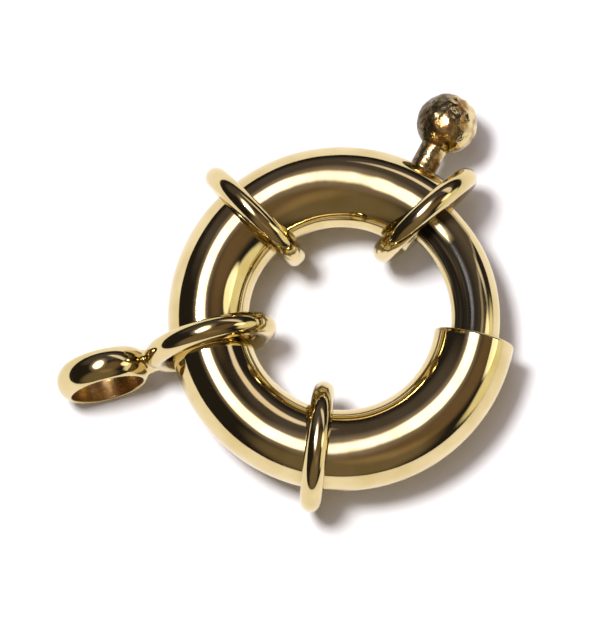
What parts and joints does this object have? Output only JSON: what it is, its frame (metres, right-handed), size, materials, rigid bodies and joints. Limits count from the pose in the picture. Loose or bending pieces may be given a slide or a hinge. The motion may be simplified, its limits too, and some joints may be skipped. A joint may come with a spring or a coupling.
{
  "type": "jewellery clasp",
  "caption": "Large spring ring clasp: a split tube ring with a sprung sliding tongue and ball trigger, wire collars round the tube and a loose end link for the chain.",
  "frame": {"origin": "centre of the ring, at half the height of the tube", "axes": "+Z is the ring's axis, up as the clasp lies; +X points across the ring to the gate, away from the end link; +Y to the trigger's side"},
  "size_m": [0.0186, 0.0174, 0.0056],
  "materials": {
    "polished_gold": "gold-plated brass, mirror polished",
    "tongue_gold": "gold-plated brass, darkened, and finely rubbed along its length by sliding"
  },
  "bodies": {
    "ring": {"tube_ring": "polished_gold", "mouth_collar": "polished_gold", "left_collar": "polished_gold", "lower_collar": "polished_gold"},
    "gate": {"tongue": "tongue_gold", "trigger": "polished_gold"},
    "link": {"end_link": "polished_gold"}
  },
  "joints": [
    {"name": "gate_slide", "type": "hinge", "parent": "ring", "child": "gate", "pos_m": [0, 0, 0], "axis": [0, 0, 1], "range_deg": [0, 35], "stiffness_Nm_per_rad": 0.004, "springref_deg": -22.92},
    {"name": "link_swing", "type": "hinge", "parent": "ring", "child": "link", "pos_m": [-0.00537, -0.001, 0.00008], "axis": [-0.2578, 0.9648, -0.0515], "continuous": true}
  ]
}
